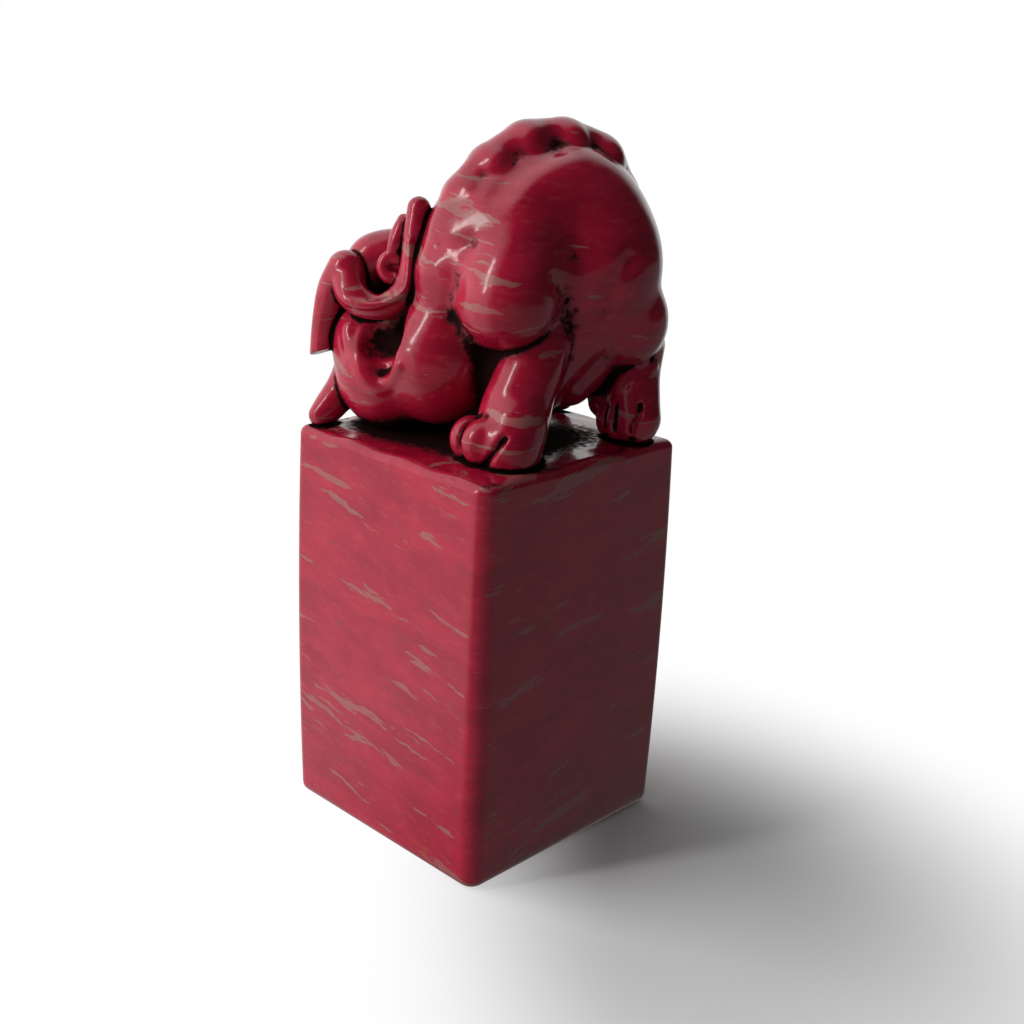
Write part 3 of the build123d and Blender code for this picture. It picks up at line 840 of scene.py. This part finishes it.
# %% [markdown]
# Shader maths reads best as plain expressions. This small class wraps a socket: + - * / between two of
# them add Math nodes, and any other node comes from one method that takes its settings and values.
# %% Sockets with operators
class Socket:
    """A shader socket that can be used in an expression."""

    def __init__(self, tree, socket):
        self.tree, self.socket = tree, socket

    def node(self, kind, values=(), out=0, **settings):
        """Adds a node: its settings first, then its values or links by socket name or number."""
        node = self.tree.nodes.new(kind)
        for name, value in settings.items():
            setattr(node, name, value)
        for name, value in dict(values).items():
            socket = node.inputs[name]
            if isinstance(value, Socket):
                self.tree.links.new(value.socket, socket)
            else:
                socket.default_value = value
        return Socket(self.tree, node.outputs[out])

    def math(self, operation, first, second):
        """A Math node on two values or sockets."""
        return self.node("ShaderNodeMath", {0: first, 1: second}, operation=operation)

    def __add__(self, other):
        return self.math("ADD", self, other)

    def __sub__(self, other):
        return self.math("SUBTRACT", self, other)

    def __mul__(self, other):
        return self.math("MULTIPLY", self, other)

    def __truediv__(self, other):
        return self.math("DIVIDE", self, other)

    def __radd__(self, other):
        return self.math("ADD", other, self)

    def __rsub__(self, other):
        return self.math("SUBTRACT", other, self)

    def __rmul__(self, other):
        return self.math("MULTIPLY", other, self)

    def __rtruediv__(self, other):
        return self.math("DIVIDE", other, self)

    def ramp(self, low, high):
        """0 below low, 1 above high, smooth between."""
        return self.node("ShaderNodeMapRange", {"Value": self, "From Min": low, "From Max": high},
                         interpolation_type="SMOOTHSTEP", clamp=True)

    def paint(self, under, over):
        """Where this mask is 0 the under colour, where it is 1 the over colour."""
        return self.node("ShaderNodeMix", {0: self, 6: coloured(under), 7: coloured(over)}, out=2,
                         data_type="RGBA")


def coloured(colour):
    """A colour's three values with full alpha, or a socket as it is."""
    return colour if isinstance(colour, Socket) else (*colour, 1.0)


# %% [markdown]
# Three things come up for every shader here: an empty node tree, a vector's three axes, and the link
# to the output. Noise does too, four-dimensional, so that a seed gives each one its own pattern.
# %% Shader helpers
def empty_tree(holder):
    """The node tree of a material or world, with nothing in it."""
    holder.use_nodes = True
    holder.node_tree.nodes.clear()
    return holder.node_tree


def coordinates(tree, kind):
    """A texture coordinate as a socket."""
    return Socket(tree, tree.nodes.new("ShaderNodeTexCoord").outputs[kind])


def axes_of(place):
    """The x, y and z of a vector socket."""
    split = place.node("ShaderNodeSeparateXYZ", {0: place})
    return [Socket(place.tree, output) for output in split.socket.node.outputs]


def noise(at, scale, detail=3.0, rough=0.5, seed=0.0):
    """Noise from 0 to 1: scale is its lumps per unit, detail and rough add finer ones."""
    return at.node("ShaderNodeTexNoise", {"Vector": at, "Scale": scale, "Detail": detail,
                                          "Roughness": rough, "W": seed}, noise_dimensions="4D")


def mixed(mask, under, over):
    """Where the mask is 0 the under shader, where it is 1 the over shader."""
    return mask.node("ShaderNodeMixShader", {0: mask, 1: under, 2: over})


def finished(shader, kind):
    """Links a shader to an output node of this kind."""
    output = shader.tree.nodes.new(kind)
    shader.tree.links.new(shader.socket, output.inputs["Surface"])


def rgb(red, green, blue):
    """An sRGB colour from 0 to 255 as the linear values that a shader uses."""
    share = np.array([red, green, blue]) / 255
    linear = np.where(share <= 0.04045, share / 12.92, ((share + 0.055) / 1.055) ** 2.4)
    return tuple(float(value) for value in linear)


# %% [markdown]
# The stone is a red seal stone, cut and waxed. Its colour is worked out in the object's own
# coordinates, in millimetres, so that the same bed of veins runs through block and beast. The bed
# dips a little, so the height above it, not z, decides the vein. Noise that is stretched along the
# bed and cut off sharply gives thin lenses, and a slow noise gathers them in clusters.
# %% The stone's colour
BED_ALONG_X, BED_ALONG_Y = 0.155, -0.12
SLOW_SWAY, QUICK_SWAY, LENS_STRETCH = 5, 1.1, 7.5
DEEP_RED, BRIGHT_RED, PINK = rgb(154, 13, 44), rgb(176, 22, 55), rgb(188, 66, 84)
# The near-black one is the colour of crease dirt and also of painted shade.
BROWN, OCHRE, GRIME_AND_SHADE = rgb(112, 44, 48), rgb(140, 76, 42), rgb(22, 10, 9)
TAN, GREY_TAN = rgb(160, 84, 80), rgb(148, 96, 90)
VEIN_CLUSTER, HAIR_CLUSTER = 0.36, 0.3
PINK_SHARE, BROWN_SHARE, HAIR_SHARE, VEIN_SHARE, OCHRE_SHARE = 0.28, 0.45, 0.6, 0.85, 0.8


def stretched(x, y, height, by):
    """A place on the bed with its level axes shrunk, so that a noise there comes out stretched."""
    return x.node("ShaderNodeCombineXYZ", {0: x / by, 1: y / by, 2: height})


def stone_colour(place):
    """The clean stone's colour and the mask of its veins: red clouds, pink flecks, brown murk, hair
    veins, lens veins and ochre spots, each painted over the one before."""
    x, y, z = axes_of(place)
    height = z + x * BED_ALONG_X + y * BED_ALONG_Y
    sway = (noise(place, scale=0.05, detail=2.0) * SLOW_SWAY
            + noise(place, scale=0.35, detail=2.0, seed=3.0) * QUICK_SWAY)
    waved = stretched(x, y, height + sway, by=LENS_STRETCH)
    cluster = noise(stretched(x, y, height, by=2.2), scale=0.085, detail=1.5, seed=7.0)
    lens = noise(waved, scale=0.45, detail=3.5, rough=0.55, seed=1.0)
    thin = noise(waved, scale=1.9, rough=0.6, seed=5.0)
    cloud = noise(stretched(x, y, height, by=3.0), scale=0.22, detail=4.0, rough=0.6, seed=2.0)
    fleck = noise(stretched(x, y, height, by=3.0), scale=1.1, detail=4.0, rough=0.6, seed=4.0)
    murk = noise(stretched(x, y, height, by=3.5), scale=0.42, detail=5.0, rough=0.65, seed=21.0)
    spotted = noise(stretched(x, y, height, by=1.5), scale=0.075, detail=2.0, seed=11.0)

    vein = (lens + cluster * VEIN_CLUSTER).ramp(0.785, 0.80)
    hair = (thin + cluster * HAIR_CLUSTER).ramp(0.845, 0.875)
    colour = cloud.ramp(0.35, 0.68).paint(DEEP_RED, BRIGHT_RED)
    colour = (fleck.ramp(0.50, 0.70) * PINK_SHARE).paint(colour, PINK)
    colour = (murk.ramp(0.56, 0.72) * BROWN_SHARE).paint(colour, BROWN)
    colour = (hair * HAIR_SHARE).paint(colour, TAN)
    colour = (vein * VEIN_SHARE).paint(colour, fleck.ramp(0.35, 0.65).paint(TAN, GREY_TAN))
    colour = (spotted.ramp(0.66, 0.74) * fleck.ramp(0.42, 0.6) * OCHRE_SHARE).paint(colour, OCHRE)
    return colour, vein


# %% [markdown]
# Where the crease number is high the stone goes dark, partly dirt and partly painted shade in the
# creases, and a broader painted shade lies where the stone around shelters a place. A noise frays
# the edges of both. The polish has faint scratches and flat facets from the lapping, and goes dull
# under both dark marks.
# %% The stone's dirt, painted shade and polish
CREASE_FRAY, SHADE_FRAY, GRIME_SHADE_COLOUR_SHARE, GRIME_SHADE_DULL_SHARE = 0.16, 0.2, 0.9, 0.85
ROUGH_LEAST, ROUGH_RUB, ROUGH_VEIN, ROUGH_GRIME_SHADE = 0.09, 0.14, 0.10, 0.7
GRAIN_LIFT, DIMPLE_LIFT, FACET_LIFT, SCRATCH_LIFT, VEIN_LIFT = 0.01, 0.08, 0.2, 0.006, 0.02
SCRATCH_TURN, SCRATCH_SCALE = (0.4, 0.7, 0.3), (0.12, 3.0, 3.0)
BUMP_STRENGTH, STONE_IOR, WAX_IOR, WAX_WEIGHT, WAX_ROUGH = 0.8, 1.54, 1.45, 0.35, 0.06


def stone_grime_and_shade(place):
    """How dark a place is painted, from 0 to 1: the crease's mark, partly dirt and partly painted
    shade, and painted shade where the beast shelters a place that the first left clean.
    """
    crease = place.node("ShaderNodeAttribute", out="Fac", attribute_name="crease")
    shelter = place.node("ShaderNodeAttribute", out="Fac", attribute_name="shelter")
    fray = noise(place, scale=0.9, detail=4.0, rough=0.6, seed=9.0)
    # The crease mark: partly real dirt and partly painted shade where the crevices are dark.
    grime_and_shade = (crease + fray * CREASE_FRAY - CREASE_FRAY / 2).ramp(0.525, 0.61)
    # Painted shade: a broad darkening where the beast shelters the stone, standing in for its shadow.
    painted_shade = (shelter + fray * SHADE_FRAY - SHADE_FRAY / 2).ramp(0.56, 0.68)
    return grime_and_shade + painted_shade * (1 - grime_and_shade)


def stone_bump(place, vein):
    """The normal of the fine relief: the sum of each pattern's height, in millimetres."""
    streaks = place.node("ShaderNodeMapping", {"Vector": place, "Rotation": SCRATCH_TURN,
                                               "Scale": SCRATCH_SCALE})
    scratches = noise(streaks, scale=1.4, detail=2.0, rough=0.6, seed=15.0).ramp(0.60, 0.72)
    grain = noise(place, scale=2.2, rough=0.55, seed=16.0)
    dimples = noise(place, scale=0.35, detail=2.0, seed=17.0)
    facets = noise(place, scale=0.15, detail=1.0, rough=0.4, seed=19.0)
    lift = (grain * GRAIN_LIFT + dimples * DIMPLE_LIFT + facets * FACET_LIFT
            - scratches * SCRATCH_LIFT - vein * VEIN_LIFT)
    return place.node("ShaderNodeBump", {"Height": lift, "Distance": MM, "Strength": BUMP_STRENGTH},
                      out="Normal")


def stone(name):
    """The stone's material: waxed stone, mixed with a dull near-black where the crease dirt and the
    painted shade lie.
    """
    material = bpy.data.materials.new(name)
    tree = empty_tree(material)
    place = coordinates(tree, "Object")
    place = place.node("ShaderNodeVectorMath", {0: place, 1: (1 / MM,) * 3}, operation="MULTIPLY")
    colour, vein = stone_colour(place)
    grime_and_shade = stone_grime_and_shade(place)
    rub = noise(place, scale=0.12, seed=12.0)
    waxed = place.node("ShaderNodeBsdfPrincipled", {
        # The base colour goes near-black under crease dirt and painted shade, and the wax goes with it,
        # which also dims reflections there.
        "Base Color": (grime_and_shade * GRIME_SHADE_COLOUR_SHARE).paint(colour, GRIME_AND_SHADE),
        "Roughness": ROUGH_LEAST + rub * ROUGH_RUB + vein * ROUGH_VEIN + grime_and_shade * ROUGH_GRIME_SHADE,
        "Normal": stone_bump(place, vein), "IOR": STONE_IOR,
        "Coat Weight": WAX_WEIGHT - grime_and_shade * WAX_WEIGHT, "Coat Roughness": WAX_ROUGH, "Coat IOR": WAX_IOR,
    })
    # A dull near-black diffuse, mixed in where the crease dirt and the painted shade lie.
    dull_grime_and_shade = place.node("ShaderNodeBsdfDiffuse", {"Color": (*GRIME_AND_SHADE, 1)})
    finished(mixed(grime_and_shade * GRIME_SHADE_DULL_SHARE, waxed, dull_grime_and_shade), "ShaderNodeOutputMaterial")
    print(f"{name}: {len(tree.nodes)} nodes")
    return material


block.data.materials.append(stone("stone"))
beast.data.materials.append(stone("carved_stone"))

# %% [markdown]
# The seal stands on a white table. For the camera the table is cloth only near the seal and on its
# dark side, where the shadow falls, and fades to plain white further out. What the polished stone
# mirrors is bright on the left and nearly black on the right, and the light that the table throws
# back is weaker on the right too.
# %% The table
TABLE_HALF, TABLE_SHINE = 3.0, (0.18, 0.62)
SHADE_MIDDLE, SHADE_DEPTH, SHADE_FADE = (-0.04, 0, 0), (1, 1.33, 1), (0.03, 0.13)
LIT_EDGE, SHINE_EDGE, BOUNCE_EDGE = (-0.03, 0.04), (-0.03, 0.05), (-0.05, 0.03)
CLOTH, PAINTED_DIM_BOUNCE, WHITE = (0.86, 0.86, 0.86, 1), (0.22, 0.22, 0.22, 1), (1, 1, 1, 1)


def table_material():
    """Cloth with a shadow for the camera, a dark and a bright half for reflections, and a weak and a
    strong half for the light it throws back. Each edge is a ramp over a distance in metres."""
    material = bpy.data.materials.new("table_white")
    place = coordinates(empty_tree(material), "Object")
    x, y, _ = axes_of(place)
    cloth = place.node("ShaderNodeBsdfDiffuse", {"Color": CLOTH})
    painted_dim_bounce = place.node("ShaderNodeBsdfDiffuse", {"Color": PAINTED_DIM_BOUNCE})
    dark, bright, white = [place.node("ShaderNodeEmission", {"Color": WHITE, "Strength": strength})
                           for strength in (*TABLE_SHINE, 1.0)]
    off = place.node("ShaderNodeVectorMath", {0: place, 1: SHADE_MIDDLE}, operation="ADD")
    off = place.node("ShaderNodeVectorMath", {0: off, 1: SHADE_DEPTH}, operation="MULTIPLY")
    away = place.node("ShaderNodeVectorMath", {0: off}, out="Value", operation="LENGTH")
    far_out, lit_side = away.ramp(*SHADE_FADE), 1 - (x + y).ramp(*LIT_EDGE)
    shown = mixed(far_out + lit_side * (1 - far_out), cloth, white)
    mirrored = mixed((0 - x).ramp(*SHINE_EDGE), dark, bright)
    # Painted shade: the light thrown back from the right half is made darker, standing in for the
    # shadow there.
    thrown_back = mixed((x + y).ramp(*BOUNCE_EDGE), cloth, painted_dim_bounce)
    glossy_ray = place.node("ShaderNodeLightPath", out="Is Glossy Ray")
    camera_ray = place.node("ShaderNodeLightPath", out="Is Camera Ray")
    unshown = mixed(glossy_ray, thrown_back, mirrored)
    finished(mixed(camera_ray, unshown, shown), "ShaderNodeOutputMaterial")
    return material


def make_table():
    """A square on the ground."""
    mesh = bpy.data.meshes.new("table")
    ends = (-TABLE_HALF, TABLE_HALF)
    mesh.from_pydata([(x, y, 0) for y in ends for x in ends], [], [(0, 1, 3, 2)])
    mesh.materials.append(table_material())
    table = bpy.data.objects.new("table", mesh)
    bpy.context.scene.collection.objects.link(table)
    print(f"the table is {2 * TABLE_HALF:.0f} m wide")


make_table()

# %% [markdown]
# The room is white for the camera and gives a low, even light. In reflections it too is bright on the
# left and dark on the right.
# %% The room
ROOM_LIGHT, ROOM_SHINE, ROOM_EDGE = 0.12, (0.03, 0.9), (-0.12, 0.25)


def make_room():
    """A world of one background for each kind of ray."""
    world = bpy.data.worlds.new("room")
    bpy.context.scene.world = world
    way = coordinates(empty_tree(world), "Generated")
    strengths = (ROOM_LIGHT, *ROOM_SHINE, 1.0)
    light, dark, bright, white = [way.node("ShaderNodeBackground", {"Color": WHITE, "Strength": each})
                                  for each in strengths]
    mirrored = mixed((0 - axes_of(way)[0]).ramp(*ROOM_EDGE), dark, bright)
    glossy_ray = way.node("ShaderNodeLightPath", out="Is Glossy Ray")
    camera_ray = way.node("ShaderNodeLightPath", out="Is Camera Ray")
    finished(mixed(camera_ray, mixed(glossy_ray, light, mirrored), white), "ShaderNodeOutputWorld")
    print(f"the room gives {ROOM_LIGHT} of white")


make_room()

# %% [markdown]
# A large soft key lamp stands to the left of the camera, which makes the left side rosy and leaves the
# right side dark. A fill and a top lamp are far weaker. Only the narrow strip is mirrored, as the long
# highlights on horn, neck and flank.
# %% Lamps
def lamp(name, place, aim, size, power, mirrored=False):
    """An area lamp at a place in metres that faces another place. A lamp that isn't mirrored gives
    light and no highlight, as a lamp behind a diffusing sheet does."""
    light = bpy.data.lights.new(name, "AREA")
    light.shape, light.size, light.size_y, light.energy = "RECTANGLE", size[0], size[1], power
    holder = bpy.data.objects.new(name, light)
    back = unit(np.array(place) - aim)
    side = unit(np.cross((0, 0, 1), back))
    turn = np.column_stack([side, np.cross(back, side), back, place])
    holder.matrix_world = Matrix(np.vstack([turn, (0, 0, 0, 1)]).tolist())
    holder.visible_glossy = mirrored
    bpy.context.scene.collection.objects.link(holder)
    print(f"{name} lamp: {power} W, {size[0]} by {size[1]} m")


lamp("key", place=(-0.78, -0.84, 0.52), aim=(0, 0, 0.06), size=(1.0, 1.1), power=15.3)
lamp("fill", place=(0.10, -1.0, 0.35), aim=(0, 0, 0.05), size=(0.9, 0.9), power=1.2)
lamp("top", place=(-0.25, 0.05, 0.9), aim=(0, 0, 0.07), size=(0.5, 0.5), power=0.7)
lamp("strip", place=(-0.30, -0.75, 0.65), aim=(0, 0, 0.07), size=(0.09, 0.5), power=1.3, mirrored=True)

# %% [markdown]
# The camera takes the place and turn that were fitted to the photo. Its axes are the columns of its
# matrix. The view transform is Standard, so that colours come out as they are written.
# %% The camera
camera_data = bpy.data.cameras.new("photo_camera")
camera_data.sensor_width, camera_data.lens = CAMERA_SENSOR, CAMERA_LENS
camera = bpy.data.objects.new("photo_camera", camera_data)
columns = np.column_stack([camera_right, camera_up, -camera_forward, CAMERA_PLACE * MM])
camera.matrix_world = Matrix(np.vstack([columns, (0, 0, 0, 1)]).tolist())
bpy.context.scene.collection.objects.link(camera)
bpy.context.scene.camera = camera
bpy.context.scene.view_settings.view_transform = "Standard"
print(f"the camera is {np.linalg.norm(CAMERA_PLACE - (0, 0, TOP)):.0f} mm from the block's top")
